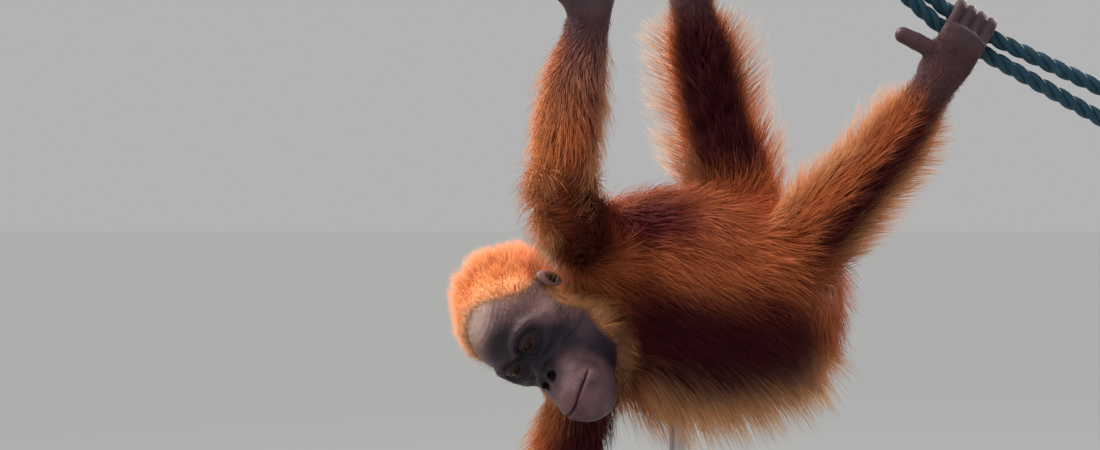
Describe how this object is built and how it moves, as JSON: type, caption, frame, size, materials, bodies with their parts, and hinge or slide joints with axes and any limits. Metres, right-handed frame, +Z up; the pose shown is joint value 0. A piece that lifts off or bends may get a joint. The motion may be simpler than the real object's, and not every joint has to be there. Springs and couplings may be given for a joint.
{
  "type": "orangutan model on display stand",
  "caption": "Still life-size young orangutan hanging by one hand and both feet from cut rope lengths, held by a rod on a flat base.",
  "frame": {"origin": "middle of the underside of the stand's flat base", "axes": "+Z up, -Y out of the animal's chest towards the viewer, -X towards its head, +X towards its hindquarters and the long rope"},
  "size_m": [0.765, 0.3801, 1.0858],
  "materials": {
    "coat": "matte",
    "skin": "satin",
    "muzzle": "satin",
    "eye": "polished",
    "rope": "satin",
    "board": "satin",
    "steel": "satin"
  },
  "bodies": {
    "root": {"big_toe_left": "skin", "big_toe_right": "skin", "ear_left": "skin", "ear_right": "skin", "eye_left": "eye", "eye_right": "eye", "finger_left_1": "skin", "finger_left_2": "skin", "finger_left_3": "skin", "finger_left_4": "skin", "finger_right_1": "skin", "finger_right_2": "skin", "finger_right_3": "skin", "finger_right_4": "skin", "foot_left": "skin", "foot_right": "skin", "forearm_left": "coat", "forearm_right": "coat", "hand_left": "skin", "hand_right": "skin", "head": "coat", "muzzle": "muzzle", "neck": "coat", "perch_rope_foot_lower": "rope", "perch_rope_foot_upper": "rope", "perch_rope_hand": "rope", "perch_rope_left_foot": "rope", "shank_left": "coat", "shank_right": "coat", "stand_base": "board", "stand_flange": "steel", "stand_rod": "steel", "thigh_left": "coat", "thigh_right": "coat", "thumb_left": "skin", "thumb_right": "skin", "toe_left_1": "skin", "toe_left_2": "skin", "toe_left_3": "skin", "toe_left_4": "skin", "toe_right_1": "skin", "toe_right_2": "skin", "toe_right_3": "skin", "toe_right_4": "skin", "trunk": "coat", "upper_arm_left": "coat", "upper_arm_right": "coat"}
  },
  "joints": []
}
